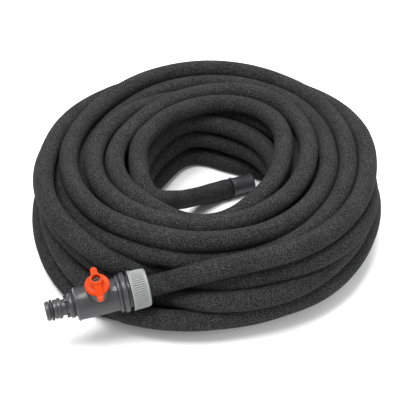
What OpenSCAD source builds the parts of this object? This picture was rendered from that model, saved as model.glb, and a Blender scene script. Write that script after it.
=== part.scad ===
// Soaker hose: a round coil of porous rubber hose. Its inlet end carries a regulating
// shut-off valve with a quick-connect nipple, held on by a ribbed union nut, and its far
// end, which lies inside the coil, is closed by a screw cap.
// The coil stands on Z = 0, and the outline of the whole part is centred on X = 0, Y = 0.

/* [Hose] */
// Outside diameter of the hose
hose_d = 18.5; // [18.2:0.1:18.8]
// Diameter of the hole through the hose
hose_bore = 13; // [12.8:0.1:13.2]

/* [Coil] */
// Radius of the centre line of the outermost turn on the floor
coil_turn_r = 158; // [154:1:162]
// Layers of turns, one on another
coil_layers = 5; // [4:1:6]
// Width of the long round space inside the coil
coil_hole_w = 120; // [118:1:122]
// Length of that space
coil_hole_l = 164; // [160:1:166]
// Turns that show side by side on top of the coil
coil_top_turns = 5; // [4:1:5]

/* [Valve] */
// Outside diameter of the valve's barrel
barrel_d = 28; // [27:0.5:28.5]
// Diameter of the rotary plug that opens and shuts the flow
plug_d = 16; // [15.5:0.1:16.5]
// Diameter of the water way
flow_d = 9; // [8:0.5:9]
// Diameter of the nipple at its tip, as hose couplings expect
nipple_d = 16.6; // [16.4:0.1:16.8]

/* [Knob] */
// Diameter of the knob's disc
knob_d = 20.5; // [20:0.5:24]
// Distance between the tips of the knob's two wings
wing_span = 32; // [30:1:36]
// Height of the hub above the disc
hub_h = 8.5; // [8:0.5:10]

/* [Union nut] */
// Outside diameter of the union nut
nut_d = 34.4; // [33.5:0.1:35]
// Ribs round the union nut
nut_ribs = 60; // [40:4:72]

/* [End cap] */
// Outside diameter of the end cap's rim
cap_d = 20.2; // [19.8:0.1:20.6]
// Length of the end cap
cap_l = 20.8; // [17:0.1:21]

/* [Hidden] */
$fn = 72;

// Radial gap of a running fit, and the small end gap between parts that turn
fit_gap = 0.05;
end_gap = 0.1;
hose_r = hose_d / 2;
bore_r = hose_bore / 2;
flow_r = flow_d / 2;

// Where the coil stands, so that the whole outline is centred
coil_at = [0, 9.8, 0];
// The coil's inner space lies a little off its middle
coil_hole_at = [7, 1];
layer_pitch = 16.1;
top_pitch = 22;
// How far each layer's outermost turn stands in from the floor layer's
layer_inset = 1.2;
// The coil's section is filled inwards to here, well inside its inner space
fill_r = 30;

// The valve lies along its own X, towards the nipple's tip, with the knob on its Z.
// Its origin is where the plug's axis crosses the water way.
valve_at = [-88, -165, 47];
valve_turn = [-13, 4, 195.5];
valve_dir = [cos(valve_turn[1]) * cos(valve_turn[2]),
             cos(valve_turn[1]) * sin(valve_turn[2]),
             -sin(valve_turn[1])];

// Stations along the valve's X
tip_x = 45.8;
neck_x = [27.6, 32.2];
barrel_x = [-15.1, 20.8];
shank_x = 10;
ring_1_x = [-18.4, -15.1];
ring_2_x = [-23.6, -18.8];
thread_x = -34;
tail_x = -46;
hose_stop_x = -25;
hose_in_x = -55;
nut_x = [-42, -26.6];

// Radii of the valve's round features
barrel_r = barrel_d / 2;
plug_r = plug_d / 2;
nut_r = nut_d / 2;
nipple_r = nipple_d / 2;
ring_1_r = 16;
ring_2_r = 17.2;
neck_r = 7;
shank_r = 8.5;
thread_r = 14;
thread_depth = 0.6;
thread_pitch = 3;
socket_r = hose_r + 0.35;
barb_h = 0.35;
stem_r = 5;
spline_r = 3.6;

// Heights along the valve's Z
plug_z = [-10.9, 9.4];
bush_z = [9.5, 18.3];
boss_z = 19.3;
knob_z = 19.9;
disc_h = 3.5;
spline_top_z = 26.1;

// The far end fitting lies on the floor along its own X, towards the cap.
end_at = [28.6, 32, 10.5];
end_yaw = 23.7;
end_dir = [cos(end_yaw), sin(end_yaw), 0];
far_hose_x = [-27, -0.8];
flange_t = 1.9;
flange_r = 10.4;
spigot_x = 13;
spigot_r = 7;
cap_x = 2.6;
washer_t = 1.4;

// Centre lines of the free stretches of hose, in the coil's own frame. Each runs out of
// a fitting or out of the coil, and its two ends are inside the coil and at the fitting.
inlet_route = [valve_at + hose_in_x * valve_dir, [-20, -152, 61], [5, -153, 68],
               [30, -150, 73]];
end_route = [[-62, -8, 72], [-59, -34, 71], [-50, -50, 67], [-37, -45, 56], [-23, -29, 42],
             [-11, -13, 30], [-2, 4, 19], end_at + far_hose_x[0] * end_dir];
tube_sides = 12;
tube_steps = 4;

// ---------------------------------------------------------------- shared shapes

// Places children in the coil's frame
module on_coil() {
    translate(coil_at)
        children();
}

// Places children in the valve's frame
module on_valve() {
    on_coil()
        translate(valve_at)
            rotate(valve_turn)
                children();
}

// Places children in the far end fitting's frame
module on_end() {
    on_coil()
        translate(end_at)
            rotate([0, 0, end_yaw])
                children();
}

// A body turned about X, from [station, radius] points given from one end to the other
module turned(profile) {
    last = len(profile) - 1;
    axis_points = [[0, profile[last][0]], [0, profile[0][0]]];
    rotate([0, 90, 0])
        rotate_extrude()
            polygon(concat([for (p = profile) [p[1], p[0]]], axis_points));
}

// A round bar or hole along X
module bar_x(x0, x1, r) {
    translate([x0, 0, 0])
        rotate([0, 90, 0])
            cylinder(h = x1 - x0, r = r);
}

// A round bar or hole along Z
module bar_z(z0, z1, r) {
    translate([0, 0, z0])
        cylinder(h = z1 - z0, r = r);
}

// A rubber ring about Z, of middle radius r and thickness t
module o_ring(r, t) {
    rotate_extrude()
        translate([r, 0])
            circle(d = t, $fn = 24);
}

// [station, radius] points of a row of barbs, from x0 up to x1, for a hose of bore bore_r
function barbs(x0, x1, count) =
    let (step = (x1 - x0) / count)
    [for (i = [0:count - 1]) each [[x0 + i * step, bore_r - 0.4], [x0 + (i + 0.8) * step, bore_r + barb_h],
                                   [x0 + (i + 0.8) * step, bore_r - 0.4]]];

// [station, radius] points of thread ridges, from x0 up to x1
function ridges(x0, x1, r, pitch) =
    let (count = floor((x1 - x0) / pitch), step = (x1 - x0) / count)
    [for (i = [0:count - 1]) each [[x0 + i * step, r - thread_depth], [x0 + (i + 0.3) * step, r],
                                   [x0 + (i + 0.6) * step, r], [x0 + (i + 0.9) * step, r - thread_depth]]];

// ---------------------------------------------------------------- hose

function layer_z(k) = hose_r + k * layer_pitch;
function layer_r(k) = coil_turn_r - k * layer_inset;

// Outline of the stacked turns: a rounded bump for every turn that shows
module coil_section() {
    top = coil_layers - 1;
    for (k = [0:top])
        translate([layer_r(k), layer_z(k)])
            circle(r = hose_r);
    for (j = [1:coil_top_turns - 1])
        translate([layer_r(top) - j * top_pitch, layer_z(top)])
            circle(r = hose_r);
    polygon(concat([[fill_r, 0], [layer_r(0), 0]],
                   [for (k = [0:top]) [layer_r(k), layer_z(k)]],
                   [[fill_r, layer_z(top)]]));
}

// The space inside the coil, with round ends of radius r that lie spread apart along Y
module long_hole(r, spread) {
    top = layer_z(coil_layers) + hose_d;
    for (side = [-1, 1])
        translate([0, side * spread / 2, 0])
            bar_z(-1, top, r);
    translate([-r, -spread / 2, -1])
        cube([2 * r, spread, top + 1]);
}

module hose_coil() {
    color("#3a3a3c")
        difference() {
            on_coil()
                rotate_extrude($fn = 180)
                    coil_section();
            on_coil()
                translate(coil_hole_at)
                    long_hole(coil_hole_w / 2, coil_hole_l - coil_hole_w);
            // The valve and its nut nestle into the outer turns
            on_valve()
                bar_x(hose_in_x, 2, nut_r + 1.3);
        }
}

// A point on the curve through p[i] and p[i + 1], at t from 0 to 1 between them
function on_curve(p, i, t) =
    0.5 * (2 * p[i] + (p[i + 1] - p[i - 1]) * t
           + (2 * p[i - 1] - 5 * p[i] + 4 * p[i + 1] - p[i + 2]) * t * t
           + (3 * p[i] - p[i - 1] - 3 * p[i + 1] + p[i + 2]) * t * t * t);

// The whole curve through a route whose first and last points only set its end directions
function curve(p) =
    concat([for (i = [1:len(p) - 3], s = [0:tube_steps - 1]) on_curve(p, i, s / tube_steps)],
           [p[len(p) - 2]]);

function unit(v) = v / norm(v);

// One ring of the tube's skin, square to the direction along
function ring(centre, along, r) =
    let (side = unit(cross(along, [0, 0, 1])), over = cross(side, along))
    [for (a = [0:tube_sides - 1]) centre + r * (cos(a * 360 / tube_sides) * side
                                                + sin(a * 360 / tube_sides) * over)];

// A round closed tube along a curve, starting along first and ending along last
module tube(path, first, last, r) {
    n = len(path);
    heading = [for (i = [0:n - 1]) i == 0 ? unit(first)
                                 : i == n - 1 ? unit(last)
                                 : unit(path[i + 1] - path[i - 1])];
    points = [for (i = [0:n - 1]) each ring(path[i], heading[i], r)];
    skin = [for (i = [0:n - 2], a = [0:tube_sides - 1])
            let (b = (a + 1) % tube_sides)
            [i * tube_sides + a, i * tube_sides + b,
             (i + 1) * tube_sides + b, (i + 1) * tube_sides + a]];
    ends = [[for (a = [tube_sides - 1:-1:0]) a],
            [for (a = [0:tube_sides - 1]) (n - 1) * tube_sides + a]];
    polyhedron(points, concat(skin, ends), convexity = 6);
}

// Solid stretch of hose from the valve up onto the top of the coil
module hose_inlet_run() {
    p = inlet_route;
    n = len(p);
    route = concat([p[0] + 20 * valve_dir], p, [2 * p[n - 1] - p[n - 2]]);
    color("#444446")
        on_coil()
            tube(curve(route), -valve_dir, p[n - 1] - p[n - 2], hose_r);
}

// Solid stretch of hose from the top of the coil down to the far end fitting
module hose_end_run() {
    p = end_route;
    n = len(p);
    route = concat([2 * p[0] - p[1]], p, [p[n - 1] + 20 * end_dir]);
    color("#444446")
        on_coil()
            tube(curve(route), p[1] - p[0], end_dir, hose_r);
}

// Hollow end of the hose, pushed over the valve's barbed tail
module hose_inlet_end() {
    color("#444446")
        on_valve()
            difference() {
                bar_x(hose_in_x, hose_stop_x, hose_r);
                bar_x(hose_in_x - 1, hose_stop_x + 1, bore_r);
            }
}

// Hollow end of the hose, stretched over the far fitting's barbed tail
module hose_far_end() {
    swell = flange_r - 0.5;
    color("#444446")
        on_end()
            difference() {
                turned([[far_hose_x[0], hose_r], [far_hose_x[0] + 6, swell], [far_hose_x[1] - 1, swell],
                        [far_hose_x[1], swell - 0.6]]);
                bar_x(far_hose_x[0] - 1, far_hose_x[1] + 1, bore_r);
            }
}

// ---------------------------------------------------------------- inlet valve

// Quick-connect nipple: tip, O-ring groove, two latch ridges, waist, shoulder and shank
module quick_connect_nipple() {
    shoulder_r = 10.7;
    groove_r = nipple_r - 1.9;
    color("#55575a")
        on_valve()
            difference() {
                union() {
                    turned([[shank_x, shank_r], [barrel_x[1], shank_r], [barrel_x[1], 10],
                            [barrel_x[1] + 1.4, 10], [barrel_x[1] + 1.9, shoulder_r],
                            [25, shoulder_r], [26.3, shoulder_r - 1.2], [neck_x[0], neck_r + 1.2],
                            [neck_x[0] + 1.4, neck_r], [neck_x[1], neck_r],
                            [32.7, nipple_r + 0.5], [35.4, nipple_r + 0.6], [35.8, nipple_r - 0.1],
                            [36.2, nipple_r - 0.1], [36.5, nipple_r], [38.9, nipple_r],
                            [38.9, groove_r], [42.2, groove_r], [42.2, nipple_r],
                            [tip_x - 1, nipple_r], [tip_x, nipple_r - 1]]);
                    // Short ribs that stiffen the waist
                    for (a = [0:45:315])
                        rotate([a, 0, 0])
                            translate([24, -0.6, 0])
                                cube([5.2, 1.2, shoulder_r - 1]);
                }
                bar_x(shank_x - 1, tip_x + 1, flow_r);
                // Groove for the seal between the shank and the barrel
                difference() {
                    bar_x(13, 15.2, shank_r + 1);
                    bar_x(12, 16, shank_r - 1.4);
                }
            }
}

module nipple_o_ring() {
    thick = 2.6;
    color("#161617")
        on_valve()
            translate([40.55, 0, 0])
                rotate([0, 90, 0])
                    o_ring(nipple_r - 1.9 + thick / 2, thick);
}

// Ring that seals the nipple's shank in the barrel
module shank_seal() {
    color("#161617")
        on_valve()
            difference() {
                bar_x(13.1, 15.1, shank_r);
                bar_x(12, 16, shank_r - 1.4);
            }
}

// Barrel, boss, two collars, outer thread and barbed tail, in one moulding
module valve_body() {
    rim = 1.2;
    color("#4b4d50")
        on_valve()
            difference() {
                union() {
                    turned(concat(
                        [[thread_x, thread_r - thread_depth]],
                        ridges(thread_x, ring_2_x[0], thread_r, thread_pitch),
                        [[ring_2_x[0], ring_2_r - 0.8], [ring_2_x[0] + 0.8, ring_2_r],
                         [ring_2_x[1] - 1.2, ring_2_r], [ring_2_x[1], ring_2_r - 1.6],
                         [ring_2_x[1], barrel_r + 0.4], [ring_1_x[0], barrel_r + 0.4],
                         [ring_1_x[0], ring_1_r - 0.8], [ring_1_x[0] + 0.8, ring_1_r],
                         [ring_1_x[1] - 1, ring_1_r], [ring_1_x[1], barrel_r],
                         [barrel_x[1] - 2.6, barrel_r], [barrel_x[1] - 2.2, barrel_r + 0.4],
                         [barrel_x[1] - rim, barrel_r + 0.4], [barrel_x[1], barrel_r - rim]]));
                    bar_z(0, boss_z, plug_r + 1.8);
                }
                bar_x(shank_x, barrel_x[1] + 1, shank_r);
                bar_x(tail_x - 1, shank_x + 1, flow_r);
                bar_x(plug_r - 2, shank_x + 0.5, flow_r + 2);
                bar_x(thread_x - 1, hose_stop_x, socket_r);
                bar_z(plug_z[0] - end_gap, boss_z + 1, plug_r + fit_gap);
            }
    color("#4b4d50")
        on_valve()
            difference() {
                turned(concat(barbs(tail_x, hose_stop_x - 1, 5), [[hose_stop_x + 1, bore_r - 0.4]]));
                bar_x(tail_x - 1, hose_stop_x + 2, flow_r);
            }
}

// Soft seat pressed against the plug by the nipple's shank
module seat_ring() {
    color("#8d8f91")
        on_valve()
            difference() {
                bar_x(plug_r - 1.6, shank_x, flow_r + 2);
                bar_x(0, shank_x + 1, flow_r + 0.2);
                bar_z(-plug_r - 2, plug_r + 2, plug_r + fit_gap);
            }
}

// Rotary plug. It stands shut: its cross hole lies across the water way
module valve_plug() {
    groove_h = 1.9;
    color("#d8d8d4")
        on_valve()
            difference() {
                union() {
                    bar_z(plug_z[0], plug_z[1], plug_r);
                    bar_z(plug_z[1], knob_z + 1.4, stem_r);
                    bar_z(knob_z + 1.4, spline_top_z, spline_r);
                }
                rotate([90, 0, 0])
                    bar_z(-plug_r - 1, plug_r + 1, flow_r - 0.5);
                for (z = [-8.8, 6.4])
                    difference() {
                        bar_z(z, z + groove_h, plug_r + 1);
                        bar_z(z - 1, z + groove_h + 1, plug_r - 1.6);
                    }
                bar_z(spline_top_z - 7, spline_top_z + 1, 1.2);
            }
}

// Two rings that seal the plug above and below its cross hole
module plug_o_rings() {
    thick = 1.6;
    color("#161617")
        on_valve()
            for (z = [-7.85, 7.35])
                translate([0, 0, z])
                    o_ring(plug_r - 0.8, thick);
}

// Bush pressed into the boss, which keeps the plug down
module stem_bush() {
    color("#3c3e40")
        on_valve()
            difference() {
                bar_z(bush_z[0], bush_z[1], plug_r + fit_gap);
                bar_z(bush_z[0] - 1, bush_z[1] + 1, stem_r + fit_gap);
            }
}

// Knob: a disc with a hub and two wings, which stand across the pipe when the valve is shut
module regulator_knob() {
    disc_r = knob_d / 2;
    hub_r = 5.4;
    wing_w = 5.6;
    top_z = knob_z + disc_h + hub_h;
    tip_r = wing_span / 2 - wing_w / 2;
    color("#f0521e")
        on_valve()
            difference() {
                union() {
                    rotate_extrude()
                        polygon([[0, knob_z], [disc_r - 0.8, knob_z], [disc_r, knob_z + 0.8],
                                 [disc_r, knob_z + 2.4], [disc_r - 1.2, knob_z + disc_h],
                                 [hub_r + 1, knob_z + disc_h + 0.6], [hub_r, knob_z + disc_h + 2],
                                 [hub_r, top_z - 0.6], [hub_r - 0.6, top_z], [0, top_z]]);
                    // Fins that slope down from the hub to the wing tips
                    translate([-wing_w / 2, 0, 0])
                        rotate([90, 0, 90])
                            linear_extrude(wing_w)
                                polygon([[-tip_r, knob_z], [tip_r, knob_z], [tip_r, knob_z + disc_h + 1],
                                         [hub_r, top_z - 1.6], [-hub_r, top_z - 1.6],
                                         [-tip_r, knob_z + disc_h + 1]]);
                    for (side = [-1, 1])
                        translate([0, side * tip_r, 0])
                            bar_z(knob_z, knob_z + disc_h + 1, wing_w / 2);
                }
                bar_z(knob_z - 1, knob_z + 1.4, stem_r);
                bar_z(knob_z, spline_top_z, spline_r);
                bar_z(spline_top_z, top_z, 1.7);
                bar_z(top_z - 5, top_z + 1, 3.8);
            }
}

// Cross-head screw that holds the knob to the plug
module knob_screw() {
    head_z = knob_z + disc_h + hub_h - 5;
    slot_w = 0.9;
    color("#9a9c9f")
        on_valve()
            difference() {
                union() {
                    bar_z(spline_top_z - 6.5, head_z, 1.2);
                    bar_z(head_z, head_z + 1.9, 3);
                }
                for (a = [0, 90])
                    rotate([0, 0, a])
                        translate([-2, -slot_w / 2, head_z + 0.9])
                            cube([4, slot_w, 2]);
            }
}

// Ribbed union nut. It draws the grip ring tight on the hose
module union_nut() {
    lip = 1.3;
    grip_x = [nut_x[0] + 2.4, nut_x[1] - 1.6];
    small_r = nut_r - 0.8;
    rib_step = 360 / nut_ribs;
    color("#a9abad")
        on_valve()
            difference() {
                union() {
                    turned([[nut_x[0], small_r - 2.2], [nut_x[0] + 0.6, small_r - 0.8],
                            [nut_x[0] + 1.6, small_r - 0.1], [grip_x[0], small_r - 0.1],
                            [grip_x[0], small_r - 0.7], [grip_x[1], nut_r - 0.8],
                            [grip_x[1], nut_r], [nut_x[1] - 0.3, nut_r], [nut_x[1], nut_r - 0.3]]);
                    translate([grip_x[0], 0, 0])
                        rotate([90, 0, 90])
                            linear_extrude(grip_x[1] - grip_x[0])
                                polygon([for (i = [0:nut_ribs - 1], side = [-1, 1], top = [0, 1])
                                         let (up = side < 0 ? top : 1 - top,
                                              a = (i + side * (up == 1 ? 0.18 : 0.34)) * rib_step,
                                              r = up == 1 ? small_r - 0.2 : small_r - 1)
                                         r * [cos(a), sin(a)]]);
                }
                bar_x(thread_x - 0.6, nut_x[1] + 1, thread_r + fit_gap);
                bar_x(nut_x[0] + 2.2, nut_x[1], 12.6);
                bar_x(nut_x[0] - 1, nut_x[1], hose_r + 0.5);
            }
}

// Split ring that the nut closes on the hose
module grip_ring() {
    x0 = nut_x[0] + 2.6;
    x1 = thread_x - 0.8;
    color("#dcdcd8")
        on_valve()
            difference() {
                turned([[x0, 11.2], [x0 + 0.6, 12.2], [x1, 12.2]]);
                bar_x(x0 - 1, x1 + 1, hose_r + fit_gap);
                translate([x0 - 1, -0.8, 0])
                    cube([x1 - x0 + 2, 1.6, 20]);
            }
}

// ---------------------------------------------------------------- far end fitting

// Barbed tail, flange and outer thread
module end_barb() {
    color("#4b4d50")
        on_end()
            difference() {
                turned(concat(barbs(-24, -2, 5),
                              [[-1.4, bore_r - 0.4], [0, bore_r], [0, flange_r - 0.5], [0.5, flange_r],
                               [flange_t - 0.4, flange_r], [flange_t, flange_r - 0.4],
                               [flange_t, spigot_r + 1.2], [cap_x - end_gap, spigot_r + 1.2],
                               [cap_x - end_gap, spigot_r - thread_depth]],
                              ridges(cap_x, spigot_x - 1, spigot_r, 2),
                              [[spigot_x, spigot_r - thread_depth]]));
                bar_x(-25, spigot_x + 1, flow_r);
            }
}

// Screw cap with a thin ring at its mouth, a recessed waist and a rounded rim
module end_cap() {
    end_x = cap_x + cap_l;
    rim_r = cap_d / 2;
    waist_r = rim_r - 0.9;
    color("#4b4d50")
        on_end()
            difference() {
                turned([[cap_x, rim_r - 0.5], [cap_x + 1, rim_r - 0.4], [cap_x + 1.2, waist_r],
                        [end_x - 2.6, waist_r], [end_x - 2, rim_r - 0.1], [end_x - 0.7, rim_r],
                        [end_x, rim_r - 0.8], [end_x, rim_r - 2.2], [end_x - 5, rim_r - 2.8]]);
                bar_x(cap_x - 1, spigot_x + washer_t + 2 * end_gap, spigot_r + fit_gap);
            }
}

// Rubber disc in the bottom of the cap
module cap_washer() {
    color("#161617")
        on_end()
            bar_x(spigot_x + end_gap, spigot_x + washer_t + end_gap, spigot_r - 0.1);
}

hose_coil();
hose_inlet_run();
hose_inlet_end();
hose_end_run();
hose_far_end();
quick_connect_nipple();
nipple_o_ring();
shank_seal();
valve_body();
seat_ring();
valve_plug();
plug_o_rings();
stem_bush();
regulator_knob();
knob_screw();
union_nut();
grip_ring();
end_barb();
end_cap();
cap_washer();
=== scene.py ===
"""Looks of the soaker hose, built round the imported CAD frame. Lengths in the tables are millimetres."""
import math

import bmesh
import bpy
import numpy as np
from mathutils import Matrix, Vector


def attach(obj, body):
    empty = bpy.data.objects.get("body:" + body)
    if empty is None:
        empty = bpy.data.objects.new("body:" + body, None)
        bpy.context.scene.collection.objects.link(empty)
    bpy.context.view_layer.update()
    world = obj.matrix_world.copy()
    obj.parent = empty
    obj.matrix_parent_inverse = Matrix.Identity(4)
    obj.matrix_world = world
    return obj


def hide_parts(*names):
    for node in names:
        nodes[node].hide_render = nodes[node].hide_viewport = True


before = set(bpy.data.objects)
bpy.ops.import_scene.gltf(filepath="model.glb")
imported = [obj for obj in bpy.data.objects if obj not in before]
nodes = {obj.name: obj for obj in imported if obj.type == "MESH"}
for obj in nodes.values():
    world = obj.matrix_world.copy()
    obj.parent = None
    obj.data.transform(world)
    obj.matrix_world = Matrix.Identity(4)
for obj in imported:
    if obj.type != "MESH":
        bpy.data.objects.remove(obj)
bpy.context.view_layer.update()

# ------------------------------------------------------------------ camera

camera_data = bpy.data.cameras.new("camera")
camera_data.lens = 83.9
camera_data.sensor_width = 36
camera_data.clip_start, camera_data.clip_end = 0.05, 20
camera = bpy.data.objects.new("camera", camera_data)
camera.location = (-0.0035, -0.712, 0.6045)
camera.rotation_euler = (math.radians(51), 0, 0)
bpy.context.scene.collection.objects.link(camera)
bpy.context.scene.camera = camera

# ------------------------------------------------------------------ the hose's lay

HOSE_D = 18.5
COIL_AT = np.array([0.0, 9.8, 0.0])
FLOOR_Z = HOSE_D / 2
STEP = 8.0
BORE_R = 6.9

VALVE_AT = np.array([-88.0, -165.0, 47.0])
VALVE_DIR = np.array([-0.9612831, -0.2665874, -0.0697565])
VALVE_UP = np.array([-0.0053811, -0.2349335, 0.9719966])
END_AT = np.array([28.6, 32.0, 10.5])
END_DIR = np.array([0.915663, 0.401948, 0.0])

# The inlet stretch takes the CAD route; the end stretch lies up to about 8 mm from the CAD one
INLET_ROUTE = [(-20, -152, 61), (5, -153, 68), (30, -150, 73)]
END_ROUTE = [(-64, 10, 73), (-63, -14, 72), (-61, -36, 70), (-56, -52, 65), (-42, -48, 57.5),
             (-28, -31, 44.5), (-19, -11, 29.5), (-9.5, 8, 17)]

# Turn by turn: (degrees round the coil, radius, height), set to look like the photograph.
# The outer, top and inner turns follow what it shows; the others are guessed.
TURNS = [
    # Top outer turn, which dives behind the nut and under the first stretch
    [(-60, 153, 73), (-30, 155, 73), (0, 155, 73), (25, 156, 70), (45, 161, 63), (70, 166, 58),
     (90, 167, 57), (120, 159, 60), (140, 152, 65), (154, 149, 69), (181, 151, 72), (200, 155, 73),
     (216, 156, 69),
     (226, 153, 64), (235, 148, 57), (244, 142, 48), (252, 139, 43), (260, 140, 43), (268, 145, 47),
     (276, 149, 50.5), (286, 155, 53)],
    # Outer wall, down to the floor
    [(-68, 159, 52), (-56, 161, 55), (-45, 161, 57), (-22, 159.5, 58), (-12, 156.5, 58), (0, 156, 58),
     (45, 163, 48), (90, 165, 41), (135, 159, 46), (165, 154, 55), (190, 152, 57), (215, 152.5, 53),
     (226, 151, 46), (236, 148, 38), (245, 147, 32.5), (252, 149, 31.5), (259, 154, 35), (266, 157.5, 39),
     (275, 159.5, 42), (286, 162, 43)],
    [(-60, 162, 41), (-31, 162, 42), (-15, 159, 42), (0, 158, 42), (45, 163, 32), (90, 165, 25),
     (135, 159, 32), (165, 153, 39), (190, 152.5, 41), (210, 156.5, 37), (222, 161, 31), (236, 163, 25),
     (250, 163, 22), (262, 162, 22), (274, 161.5, 23)],
    [(-67, 164, 25.5), (-54, 165, 25.5), (-44, 164, 25.5), (-24, 160, 25.5), (0, 162, 25.5), (45, 163, 15),
     (90, 163, 9.25), (135, 158, 15), (165, 154, 23), (185, 155, 24), (208, 160.5, 18), (222, 167, 11),
     (234, 168, 9.25), (244, 166, 9.25), (253, 162, 9.25), (262, 158, 9.25)],
    [(-89, 154.5, 9.25), (-75, 152.5, 9.25), (-64, 152.5, 9.25), (-49, 155, 9.25), (-39, 157, 9.25),
     (-18, 157, 9.25), (0, 161, 9.25), (35, 151, 9.25), (90, 147, 9.25), (135, 142, 9.25),
     (180, 151, 9.25), (220, 149, 9.25), (250, 142, 9.25), (270, 135, 9.25)],
    # Floor, inwards
    [(-45, 135, 9.25), (0, 138, 9.25), (60, 126, 9.25), (97, 129, 9.25), (135, 123, 9.25),
     (180, 131, 9.25), (230, 127, 9.25), (270, 118, 9.25)],
    [(-45, 114, 9.25), (0, 116, 9.25), (60, 106, 9.25), (97, 111, 9.25), (135, 103, 9.25),
     (180, 106, 9.25), (230, 102, 9.25), (270, 99, 9.25)],
    # Inner wall, up from the floor
    [(-45, 84, 9.25), (-15, 84, 9.25), (5, 87, 9.25), (22, 90, 9.25), (40, 89, 9.25), (55, 83, 9.25),
     (67, 78, 9.25), (80, 82, 9.25),
     (89, 89, 9.25), (97, 93, 9.25), (105, 87, 9.25), (117, 75, 9.5), (130, 67, 10), (145, 63, 10),
     (180, 61, 10), (225, 68, 10), (250, 80, 12), (270, 82, 18)],
    [(-60, 84, 22), (-30, 78, 29), (0, 75, 31), (25, 76, 31.5), (50, 80, 31.5), (70, 81, 31.5),
     (84, 86, 31.5), (91, 91, 31.5), (98, 93, 31.5),
     (106, 86, 31.5), (116, 77, 31.5), (128, 71, 31.5), (147, 65, 31.5), (180, 61, 31), (225, 74, 30),
     (255, 94, 27)],
    # Second layer, outwards
    [(-60, 101, 26), (-20, 99, 26), (0, 99, 26), (60, 103, 26), (97, 111, 26), (135, 100, 26),
     (180, 93, 26), (225, 104, 26), (270, 118, 26.5)],
    [(-45, 126, 26), (0, 131, 26), (90, 137, 26), (135, 132, 26), (180, 126, 26), (235, 129, 26.5),
     (255, 129.5, 26.5), (275, 136, 30)],
    # Third layer, inwards
    [(-45, 139, 41), (0, 134, 42), (90, 128, 42), (135, 120, 42), (180, 114, 42), (230, 106, 43),
     (270, 101, 45)],
    # Inner wall's third turn
    [(-45, 84, 49), (0, 73, 52), (23, 74, 52), (47, 79, 52), (70, 83, 52), (84, 87, 52), (97, 92, 52),
     (108, 86, 52),
     (120, 77, 52), (135, 70, 52), (150, 65, 52), (180, 62, 53), (225, 72, 49), (250, 78, 45),
     (270, 82, 44)],
    # Fourth layer, outwards
    [(-70, 85, 47), (-45, 88, 52), (0, 92, 57), (45, 101, 56), (75, 105, 56), (97, 110, 56),
     (135, 99, 56), (180, 94, 57), (225, 97, 54),
     (250, 104, 50), (270, 112, 46)],
    [(-45, 119, 46), (-15, 128, 54), (0, 131, 57), (45, 141, 53), (90, 148, 49), (135, 145, 54),
     (180, 139, 58), (225, 136, 58), (250, 135.5, 60.5), (270, 136, 60)],
    # Top layer, inwards
    [(-70, 137, 63), (-45, 139, 69), (-20, 138, 73), (1, 138, 74), (25, 146, 73.5), (49, 154, 73.5),
     (87, 161, 75), (115, 149, 74), (140, 136, 73),
     (181, 129.5, 74), (228, 127, 74), (272, 126.5, 74), (302, 125, 74)],
    [(-17, 121, 73), (2, 121, 72), (25, 128, 71), (50, 139, 69), (79, 146, 66), (110, 142, 63),
     (140, 131, 59), (180, 117, 57),
     (225, 117, 59), (250, 117, 61), (270, 117, 62)],
    [(-45, 114, 60), (-15, 111, 57), (0, 111, 56), (45, 120, 56), (80, 128, 57), (110, 122, 62),
     (130, 111, 69),
     (147, 105, 74), (181, 105, 74), (224, 105, 74), (273, 107, 74), (307, 98, 74)],
    [(-23, 97, 74), (2, 102, 74), (22, 114, 74), (45, 127, 74), (76, 121, 73), (100, 106, 73),
     (125, 90, 74), (147, 83, 74), (182, 84.5, 74),
     (218, 85, 74), (236, 87, 71), (254, 90, 66), (272, 92, 64.5), (290, 87, 67)],
    [(-48, 79, 71), (-30, 75, 73), (-10, 74, 74), (4, 76, 74), (20, 83, 74), (45, 96, 74), (60, 98, 74),
     (79, 94, 74), (100, 84, 74), (127, 72.5, 74),
     (155, 66, 74)],
]

# How the lay is settled, in points of the line (a step apart) and in millimetres
HELD_FIRST, HELD_LAST = 5, 3
CLEAR_FIRST, CLEAR_LAST = 14, 12
EVEN_UNTIL, EVEN_FADE = 22, 8
APART = 18.2
WATCHED = 27.0
NEIGHBOURS = 4
NUT_REACH, BARREL_REACH, CAP_REACH = 27.25, 27.35, 20.85


def even(q, step):
    """The same line with its points a step apart."""
    s = np.concatenate([[0], np.cumsum(np.linalg.norm(np.diff(q, axis=0), axis=1))])
    n = int(round(s[-1] / step))
    u = np.linspace(0, s[-1], n + 1)
    return np.stack([np.interp(u, s, q[:, k]) for k in range(3)], axis=1)


def hermite(x, y, m, at):
    """Cubic through (x, y) with slopes m, read at the given places."""
    i = np.clip(np.searchsorted(x, at, side="right") - 1, 0, len(x) - 2)
    h = (x[i + 1] - x[i])
    u = (at - x[i]) / h
    return ((2 * u**3 - 3 * u**2 + 1) * y[i] + (u**3 - 2 * u**2 + u) * h * m[i]
            + (-2 * u**3 + 3 * u**2) * y[i + 1] + (u**3 - u**2) * h * m[i + 1])


def eased(x, y, at):
    """Cubic through (x, y) that doesn't overshoot."""
    d = np.diff(x)
    s = np.diff(y) / d
    m = np.zeros_like(y)
    m[0], m[-1] = s[0], s[-1]
    inner = (s[:-1] * d[1:] + s[1:] * d[:-1]) / (d[:-1] + d[1:])
    m[1:-1] = np.where(s[:-1] * s[1:] <= 0, 0.0, inner)
    return hermite(x, y, m, at)


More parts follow.
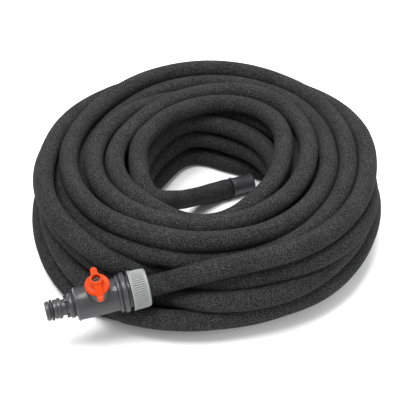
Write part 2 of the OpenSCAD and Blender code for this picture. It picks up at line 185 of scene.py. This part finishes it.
def smooth_path(points, step):
    """Evenly spaced points along a smooth curve through the given ones."""
    p = np.asarray(points, float)
    d = np.linalg.norm(np.diff(p, axis=0), axis=1)
    x = np.concatenate([[0], np.cumsum(d)])
    s = np.diff(p, axis=0) / d[:, None]
    w = (d[:-1] / (d[:-1] + d[1:]))[:, None]
    m = np.concatenate([s[:1], s[:-1] * (1 - w) + s[1:] * w, s[-1:]])
    at = np.arange(0, x[-1], 1.5)
    q = np.stack([hermite(x, p[:, k], m[:, k], at) for k in range(3)], axis=1)
    return even(np.concatenate([q, p[-1:]]), step)


def lay_of_turns():
    """The planned line of the whole hose, from inside the nut to the far end fitting."""
    stations = np.array([(a + 360.0 * k, r, z) for k, turn in enumerate(TURNS) for a, r, z in turn])
    at = np.arange(stations[0, 0], stations[-1, 0] + 0.01, 6.0)
    r = eased(stations[:, 0], stations[:, 1], at)
    z = eased(stations[:, 0], stations[:, 2], at)
    for _ in range(3):
        r[1:-1] = 0.25 * (r[:-2] + r[2:]) + 0.5 * r[1:-1]
        z[1:-1] = 0.25 * (z[:-2] + z[2:]) + 0.5 * z[1:-1]
    c = np.radians(at)
    loops = np.stack([r * np.cos(c), r * np.sin(c), z], axis=1)
    head = [VALVE_AT - x * VALVE_DIR for x in (27.0, 42.0, 51.0, 58.0)]
    head += [np.array(p, float) for p in INLET_ROUTE]
    tail = [np.array(p, float) for p in END_ROUTE] + [END_AT - x * END_DIR for x in (27.0, 14.0, 0.9)]
    return smooth_path(np.concatenate([head, loops, tail]), STEP)


def out_of_bar(p, a, b, r, free):
    """Moves the free points out of a round-ended bar from a to b of radius r."""
    ab = b - a
    t = np.clip(((p - a) @ ab) / (ab @ ab), 0, 1)
    q = a + t[:, None] * ab
    v = p - q
    d = np.linalg.norm(v, axis=1)
    out = q + v / np.maximum(d, 1e-6)[:, None] * r
    return np.where(((d < r) & free)[:, None], out, p)


def even_bends(p, w, rounds):
    """Spreads tight bends along the line without drawing its turns in."""
    for _ in range(rounds):
        for f in (0.25, -0.26):
            p[1:-1] += f * (p[:-2] + p[2:] - 2 * p[1:-1]) * w[1:-1]


def settle(p, rounds):
    """Takes the overlaps out of the lay: turns a diameter apart, on the floor, clear of both fittings.

    The line is drawn back to its lay all the time, so this is a fit and not a free fall.
    """
    n = len(p)
    bends = np.clip((n - EVEN_UNTIL - np.arange(n)) / EVEN_FADE, 0, 1)
    bends[:HELD_FIRST] = 0
    bends = bends[:, None]
    even_bends(p, bends, 20)
    # Smoother behind the nut, down to the far fitting, and into it
    for part, times in ((slice(HELD_FIRST, CLEAR_FIRST), 14), (slice(n - 26, n - HELD_LAST), 2),
                        (slice(n - 9, n - HELD_LAST), 12)):
        for _ in range(times):
            k = np.arange(n)[part]
            p[k] += 0.3 * (p[k - 1] + p[k + 1] - 2 * p[k])
    home = p.copy()
    rest = np.linalg.norm(np.diff(p, axis=0), axis=1)
    loose = np.ones(n)
    loose[:HELD_FIRST] = loose[-HELD_LAST:] = 0.0
    order = np.arange(n)
    after_nut, before_end = order >= CLEAR_FIRST, order <= n - CLEAR_LAST
    bars = ((VALVE_AT - 26.6 * VALVE_DIR, VALVE_AT - 48.5 * VALVE_DIR, NUT_REACH, after_nut),
            (VALVE_AT + 20.0 * VALVE_DIR, VALVE_AT - 24.0 * VALVE_DIR, BARREL_REACH, after_nut),
            (END_AT, END_AT + 26.6 * END_DIR, CAP_REACH, before_end))
    w = loose[:, None]
    for turn in range(rounds):
        if turn % 6 == 0:
            even_bends(p, bends, 3)
            size = np.sum(p * p, axis=1)
            gap2 = size[:, None] + size[None, :] - 2 * p @ p.T
            i, j = np.where(np.triu(gap2 < WATCHED ** 2, NEIGHBOURS))
        # Turns push each other apart
        v = p[j] - p[i]
        d = np.linalg.norm(v, axis=1)
        hit = d < APART
        push = v[hit] / np.maximum(d[hit], 1e-6)[:, None] * ((APART - d[hit]) * 0.5)[:, None]
        move, count = np.zeros_like(p), np.zeros(n)
        np.add.at(move, i[hit], -push)
        np.add.at(move, j[hit], push)
        np.add.at(count, i[hit], 1)
        np.add.at(count, j[hit], 1)
        p = p + move / np.maximum(1, count * 0.6)[:, None] * w * 0.9
        # It neither stretches nor shortens
        for odd in (0, 1):
            k = order[odd:n - 1:2]
            v = p[k + 1] - p[k]
            d = np.linalg.norm(v, axis=1)
            a, b = loose[k], loose[k + 1]
            s = ((d - rest[k]) / np.maximum(d, 1e-6) / np.maximum(a + b, 1e-6) * 0.5)[:, None] * v
            p[k] += s * a[:, None]
            p[k + 1] -= s * b[:, None]
        # It resists bending away from its lay
        for span in (1, 2):
            now = 0.5 * (p[:-2 * span] + p[2 * span:]) - p[span:-span]
            was = home[span:-span] - 0.5 * (home[:-2 * span] + home[2 * span:])
            p[span:-span] += (now + was) * 0.25 * w[span:-span]
        # It is drawn back to its lay, most of all in height, and the lay gives a little sideways
        p += (home - p) * np.array([0.05, 0.05, 0.09]) * w
        home += (p - home) * np.array([0.008, 0.008, 0.0]) * w
        for start, stop, reach, free in bars:
            p = out_of_bar(p, start, stop, reach, free)
        p[:, 2] = np.where(loose > 0, np.maximum(p[:, 2], FLOOR_Z), p[:, 2])
    return p


def rounded(p):
    """A denser line through the settled points."""
    x = np.concatenate([[0], np.cumsum(np.linalg.norm(np.diff(p, axis=0), axis=1))])
    m = np.gradient(p, x, axis=0)
    at = np.linspace(0, x[-1], int(round(x[-1] / 4.5)) + 1)
    return np.stack([hermite(x, p[:, k], m[:, k], at) for k in range(3)], axis=1), at


line, along = rounded(settle(lay_of_turns(), 300))
line = (line + COIL_AT) / 1000
along = along / 1000

# ------------------------------------------------------------------ mesh helpers


def new_object(name, verts, faces):
    mesh = bpy.data.meshes.new(name)
    mesh.from_pydata([tuple(v) for v in verts], [], faces)
    mesh.update()
    bm = bmesh.new()
    bm.from_mesh(mesh)
    bmesh.ops.recalc_face_normals(bm, faces=bm.faces)
    bm.to_mesh(mesh)
    bm.free()
    for f in mesh.polygons:
        f.use_smooth = True
    obj = bpy.data.objects.new(name, mesh)
    bpy.context.scene.collection.objects.link(obj)
    return obj


def wave(t, seed):
    """A slow, smooth, repeatable wobble between about -1 and 1."""
    rng = np.random.default_rng(seed)
    total = np.zeros_like(t)
    for k in range(5):
        total += np.sin(t * rng.uniform(6, 60) + rng.uniform(0, 6.28)) * rng.uniform(0.4, 1.0)
    return total / 2.4


BARB_SWELL, BARB_RUN = 0.00075, 0.034
WOBBLE = 0.012
BORE_RINGS = 9


def hose_tube(name, centre, s, sides=22):
    """The hose: round outside, hollow at both ends where it is pushed over its barbs."""
    n = len(centre)
    t = np.gradient(centre, axis=0)
    t /= np.linalg.norm(t, axis=1)[:, None]
    side = np.cross(t, [0, 0, 1.0])
    side /= np.linalg.norm(side, axis=1)[:, None]
    over = np.cross(side, t)
    left = s[-1] - s
    r = np.full(n, HOSE_D / 2000)
    # Swelled over the far barbs, flatter in tight bends, and true to size near both fittings
    r += BARB_SWELL * np.clip((BARB_RUN - left) / 0.012, 0, 1) * np.clip(left / 0.002 + 0.4, 0, 1)
    bend = np.zeros(n)
    bend[2:-2] = np.linalg.norm(t[4:] - t[:-4], axis=1)
    flat = np.clip(bend - 0.32, 0, 0.6) * 0.22
    calm = np.clip((s - 0.03) / 0.05, 0, 1) * np.clip(left / 0.05, 0, 1)
    wide = r * (1 + WOBBLE * wave(s, 3) * calm + flat * 0.7)
    high = r * (1 - WOBBLE * wave(s, 3) * calm - flat)
    a = np.arange(sides) * 2 * math.pi / sides
    ca, sa = np.cos(a)[None, :, None], np.sin(a)[None, :, None]
    outer = (centre[:, None] + wide[:, None, None] * ca * side[:, None]
             + high[:, None, None] * sa * over[:, None])
    bore = BORE_R / 1000
    inner = centre[:, None] + bore * ca * side[:, None] + bore * sa * over[:, None]
    rings = [inner[k] for k in range(BORE_RINGS, -1, -1)] + [outer[k] for k in range(n)]
    rings += [inner[k] for k in range(n - 1, n - 2 - BORE_RINGS, -1)]
    verts = np.concatenate(rings)
    m = len(rings)
    faces = []
    for k in range(m - 1):
        for c in range(sides):
            d = (c + 1) % sides
            faces.append((k * sides + c, k * sides + d, (k + 1) * sides + d, (k + 1) * sides + c))
    faces.append(tuple(range(sides)))
    faces.append(tuple((m - 1) * sides + c for c in range(sides)))
    return new_object(name, verts, faces)


hose = hose_tube("hose", line, along)
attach(hose, "root")
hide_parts("hose_coil", "hose_inlet_run", "hose_inlet_end", "hose_end_run", "hose_far_end")

# ------------------------------------------------------------------ the union nut

# The CAD nut has 60 ribs; these are fewer and deeper, so that they show in a small picture
NUT_RIBS = 52
RIB_STEPS = 8
# Outside of the nut, back to front: (place along the valve, radius, how deep the grooves are)
NUT_OUTSIDE = [(-42.0, 14.3, 0), (-41.85, 15.1, 0), (-41.4, 15.85, 0), (-40.8, 16.2, 0), (-40.2, 16.32, 0),
               (-39.7, 16.36, 0), (-39.35, 16.38, 0.3), (-39.0, 16.4, 0.85), (-38.4, 16.42, 1),
               (-36.2, 16.47, 1), (-34.0, 16.53, 1), (-31.8, 16.59, 1), (-29.6, 16.65, 1),
               (-29.1, 16.67, 0.85), (-28.8, 16.68, 0.3), (-28.5, 16.7, 0), (-28.25, 16.95, 0),
               (-27.95, 17.15, 0), (-27.5, 17.2, 0), (-27.0, 17.2, 0), (-26.72, 17.08, 0), (-26.6, 16.8, 0)]
# Inside, front to back: mouth, thread, shoulder for the grip ring, hole for the hose
NUT_INSIDE = [(-26.6, 14.6), (-26.9, 14.1), (-27.2, 14.05), (-34.5, 14.05), (-34.6, 13.95), (-34.6, 12.7),
              (-34.7, 12.6), (-39.7, 12.6), (-39.8, 12.5), (-39.8, 9.9), (-39.95, 9.75), (-41.8, 9.75),
              (-42.0, 9.95)]


def ribbed_nut():
    """The union nut with fine ribs along it, smooth rims and its stepped bore."""
    columns = NUT_RIBS * RIB_STEPS
    a = np.arange(columns) * 2 * math.pi / columns
    step = np.arange(columns) % RIB_STEPS
    groove = np.select([step == 0, (step == 1) | (step == 7)], [0.85, 0.6], 0.0)
    crown = np.select([step == 4, (step == 3) | (step == 5)], [0.1, 0.06], 0.0)
    rings = [(x, r - cut * (groove - crown)) for x, r, cut in NUT_OUTSIDE]
    rings += [(x, np.full(columns, r)) for x, r in NUT_INSIDE]
    side = np.cross(VALVE_UP, VALVE_DIR)
    at = (VALVE_AT + COIL_AT) / 1000
    verts = []
    for x, r in rings:
        reach = (r * np.cos(a))[:, None] * side + (r * np.sin(a))[:, None] * VALVE_UP
        verts.append(at + (x * VALVE_DIR + reach) / 1000)
    verts = np.concatenate(verts)
    m = len(rings)
    faces = [(k * columns + c, k * columns + (c + 1) % columns,
              (k + 1) % m * columns + (c + 1) % columns, (k + 1) % m * columns + c)
             for k in range(m) for c in range(columns)]
    return new_object("ribbed_nut", verts, faces)


nut = ribbed_nut()
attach(nut, "nut")
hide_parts("union_nut")

# ------------------------------------------------------------------ softened edges

for name, width in (("quick_connect_nipple", 0.3), ("valve_body", 0.35), ("regulator_knob", 0.5),
                    ("knob_screw", 0.15), ("end_barb", 0.25), ("end_cap", 0.3)):
    weld = nodes[name].modifiers.new("weld", "WELD")
    weld.merge_threshold = 1e-6
    edge = nodes[name].modifiers.new("edge", "BEVEL")
    edge.width = width / 1000
    edge.segments = 2
    edge.limit_method = "ANGLE"
    edge.angle_limit = math.radians(32)
    edge.harden_normals = True

# ------------------------------------------------------------------ materials


def shader(name):
    mat = bpy.data.materials.new(name)
    mat.use_nodes = True
    tree = mat.node_tree
    return mat, tree, tree.nodes["Principled BSDF"]


def node(tree, kind, **values):
    made = tree.nodes.new(kind)
    for key, value in values.items():
        if key in made.inputs:
            made.inputs[key].default_value = value
        else:
            setattr(made, key, value)
    return made


def ramp(tree, source, stops):
    made = tree.nodes.new("ShaderNodeValToRGB")
    e = made.color_ramp.elements
    while len(e) < len(stops):
        e.new(0.5)
    for k, (at, colour) in enumerate(stops):
        e[k].position = at
        e[k].color = (*colour, 1)
    tree.links.new(source, made.inputs["Fac"])
    return made


def porous_rubber():
    mat, tree, out = shader("porous_rubber")
    link = tree.links.new
    place = node(tree, "ShaderNodeTexCoord").outputs["Object"]
    crumb = node(tree, "ShaderNodeTexNoise", Scale=980, Detail=4, Roughness=0.75)
    speck = node(tree, "ShaderNodeTexNoise", Scale=900, Detail=2, Roughness=0.6)
    patch = node(tree, "ShaderNodeTexNoise", Scale=38, Detail=3)
    pores = node(tree, "ShaderNodeTexVoronoi", Scale=620)
    for t in (crumb, speck, patch, pores):
        link(place, t.inputs["Vector"])
    grain = ramp(tree, crumb.outputs["Fac"], [(0.37, (0.002, 0.002, 0.002)),
                                              (0.5, (0.0138, 0.0138, 0.0142)),
                                              (0.63, (0.047, 0.047, 0.048))])
    light = ramp(tree, speck.outputs["Fac"], [(0.58, (0, 0, 0)), (0.74, (0.045, 0.045, 0.0455))])
    add = node(tree, "ShaderNodeMixRGB", blend_type="ADD")
    add.inputs["Fac"].default_value = 1
    link(grain.outputs["Color"], add.inputs["Color1"])
    link(light.outputs["Color"], add.inputs["Color2"])
    tone = ramp(tree, patch.outputs["Fac"], [(0.3, (0.82, 0.82, 0.83)), (0.7, (1.12, 1.12, 1.12))])
    tint = node(tree, "ShaderNodeMixRGB", blend_type="MULTIPLY")
    tint.inputs["Fac"].default_value = 1
    link(add.outputs["Color"], tint.inputs["Color1"])
    link(tone.outputs["Color"], tint.inputs["Color2"])
    link(tint.outputs["Color"], out.inputs["Base Color"])
    rough = ramp(tree, crumb.outputs["Fac"], [(0.3, (0.96,) * 3), (0.7, (0.74,) * 3)])
    link(rough.outputs["Color"], out.inputs["Roughness"])
    out.inputs["Specular IOR Level"].default_value = 0.1
    high = node(tree, "ShaderNodeMath", operation="ADD")
    link(crumb.outputs["Fac"], high.inputs[0])
    link(pores.outputs["Distance"], high.inputs[1])
    bump = node(tree, "ShaderNodeBump", Strength=0.55, Distance=0.0007)
    link(high.outputs[0], bump.inputs["Height"])
    link(bump.outputs["Normal"], out.inputs["Normal"])
    return mat


def plastic(name, colour, rough, speckle=0.1, bump_by=0.06, grain=1500, worn=0.12, shine=0.5):
    """Moulded plastic: a little uneven in tone and gloss, with a fine moulded skin and lighter edges."""
    mat, tree, out = shader(name)
    link = tree.links.new
    place = node(tree, "ShaderNodeTexCoord").outputs["Object"]
    skin = node(tree, "ShaderNodeTexNoise", Scale=grain, Detail=3)
    cloud = node(tree, "ShaderNodeTexNoise", Scale=90, Detail=3)
    link(place, skin.inputs["Vector"])
    link(place, cloud.inputs["Vector"])
    low = tuple(c * (1 - speckle) for c in colour)
    high = tuple(min(1, c * (1 + speckle)) for c in colour)
    tone = ramp(tree, cloud.outputs["Fac"], [(0.3, low), (0.7, high)])
    edge = node(tree, "ShaderNodeNewGeometry")
    edges = ramp(tree, edge.outputs["Pointiness"], [(0.50, (0, 0, 0)), (0.62, (1, 1, 1))])
    mix = node(tree, "ShaderNodeMixRGB", blend_type="MIX")
    fac = node(tree, "ShaderNodeMath", operation="MULTIPLY")
    link(edges.outputs["Color"], fac.inputs[0])
    fac.inputs[1].default_value = worn
    link(fac.outputs[0], mix.inputs["Fac"])
    link(tone.outputs["Color"], mix.inputs["Color1"])
    mix.inputs["Color2"].default_value = (*[min(1, c * 1.6 + 0.12) for c in colour], 1)
    link(mix.outputs["Color"], out.inputs["Base Color"])
    gloss = ramp(tree, cloud.outputs["Fac"], [(0.25, (rough - 0.06,) * 3), (0.75, (rough + 0.08,) * 3)])
    link(gloss.outputs["Color"], out.inputs["Roughness"])
    out.inputs["Specular IOR Level"].default_value = shine
    bump = node(tree, "ShaderNodeBump", Strength=bump_by, Distance=0.0004)
    link(skin.outputs["Fac"], bump.inputs["Height"])
    link(bump.outputs["Normal"], out.inputs["Normal"])
    return mat


def steel():
    mat, tree, out = shader("screw_steel")
    link = tree.links.new
    place = node(tree, "ShaderNodeTexCoord").outputs["Object"]
    brushed = node(tree, "ShaderNodeTexNoise", Scale=900, Detail=4)
    link(place, brushed.inputs["Vector"])
    # Dark, reddish base colour: painted shade for the screw down in the hub's recess, tinted with a painted
    # orange reflection of the knob
    tone = ramp(tree, brushed.outputs["Fac"], [(0.3, (0.045, 0.03, 0.026)), (0.7, (0.075, 0.05, 0.044))])
    link(tone.outputs["Color"], out.inputs["Base Color"])
    rough = ramp(tree, brushed.outputs["Fac"], [(0.3, (0.4,) * 3), (0.7, (0.55,) * 3)])
    link(rough.outputs["Color"], out.inputs["Roughness"])
    out.inputs["Metallic"].default_value = 1
    return mat


LOOKS = {
    "porous_rubber": porous_rubber(),
    "fitting_plastic": plastic("fitting_plastic", (0.027, 0.027, 0.029), 0.34, shine=0.42),
    "nut_plastic": plastic("nut_plastic", (0.185, 0.19, 0.188), 0.42, speckle=0.05, shine=0.4),
    "knob_plastic": plastic("knob_plastic", (0.47, 0.036, 0.0005), 0.42, speckle=0.06, worn=0.04, shine=0.14),
    "seal_rubber": plastic("seal_rubber", (0.004, 0.004, 0.0045), 0.55, bump_by=0.12, worn=0.0),
    "seat_plastic": plastic("seat_plastic", (0.62, 0.60, 0.55), 0.42, speckle=0.04),
    "plug_plastic": plastic("plug_plastic", (0.30, 0.30, 0.31), 0.4, speckle=0.05),
    "screw_steel": steel(),
}
hose.data.materials.append(LOOKS["porous_rubber"])
nut.data.materials.append(LOOKS["nut_plastic"])

NODE_LOOK = {
    "quick_connect_nipple": "fitting_plastic", "nipple_o_ring": "seal_rubber", "shank_seal": "seal_rubber",
    "valve_body": "fitting_plastic", "seat_ring": "seat_plastic", "valve_plug": "plug_plastic",
    "plug_o_rings": "seal_rubber", "stem_bush": "seat_plastic", "regulator_knob": "knob_plastic",
    "knob_screw": "screw_steel", "union_nut": "nut_plastic", "grip_ring": "seat_plastic",
    "end_barb": "fitting_plastic", "end_cap": "fitting_plastic", "cap_washer": "seal_rubber",
}
for name, look in NODE_LOOK.items():
    data = nodes[name].data
    if not data.materials:
        data.materials.append(None)
    for k in range(len(data.materials)):
        data.materials[k] = LOOKS[look]

# ------------------------------------------------------------------ stage and light

floor = new_object("floor", [(-30, -30, 0), (30, -30, 0), (30, 30, 0), (-30, 30, 0)], [(0, 1, 2, 3)])
floor_mat, floor_tree, floor_out = shader("floor")
floor_noise = node(floor_tree, "ShaderNodeTexNoise", Scale=3, Detail=2)
floor_tone = ramp(floor_tree, floor_noise.outputs["Fac"], [(0.3, (0.91,) * 3), (0.7, (0.93,) * 3)])
floor_tree.links.new(floor_tone.outputs["Color"], floor_out.inputs["Base Color"])
floor_out.inputs["Roughness"].default_value = 0.9
floor.data.materials.append(floor_mat)


def soft_light(name, at, aim, size, power):
    data = bpy.data.lights.new(name, "AREA")
    data.shape = "DISK"
    data.size = size
    data.energy = power
    light = bpy.data.objects.new(name, data)
    light.location = at
    light.rotation_euler = (Vector(aim) - Vector(at)).to_track_quat("-Z", "Y").to_euler()
    bpy.context.scene.collection.objects.link(light)


soft_light("key", (-0.4, -0.25, 1.6), (0, 0, 0), 0.9, 32)
soft_light("back", (0.4, 1.1, 1.3), (0, 0, 0), 0.8, 22)
soft_light("fill", (1.2, -0.9, 0.9), (0, 0, 0), 1.1, 8)
world = bpy.data.worlds.new("world")
world.use_nodes = True
world.node_tree.nodes["Background"].inputs["Color"].default_value = (1, 1, 1, 1)
world.node_tree.nodes["Background"].inputs["Strength"].default_value = 0.85
bpy.context.scene.world = world
bpy.context.scene.view_settings.view_transform = "Standard"
bpy.context.scene.view_settings.look = "None"
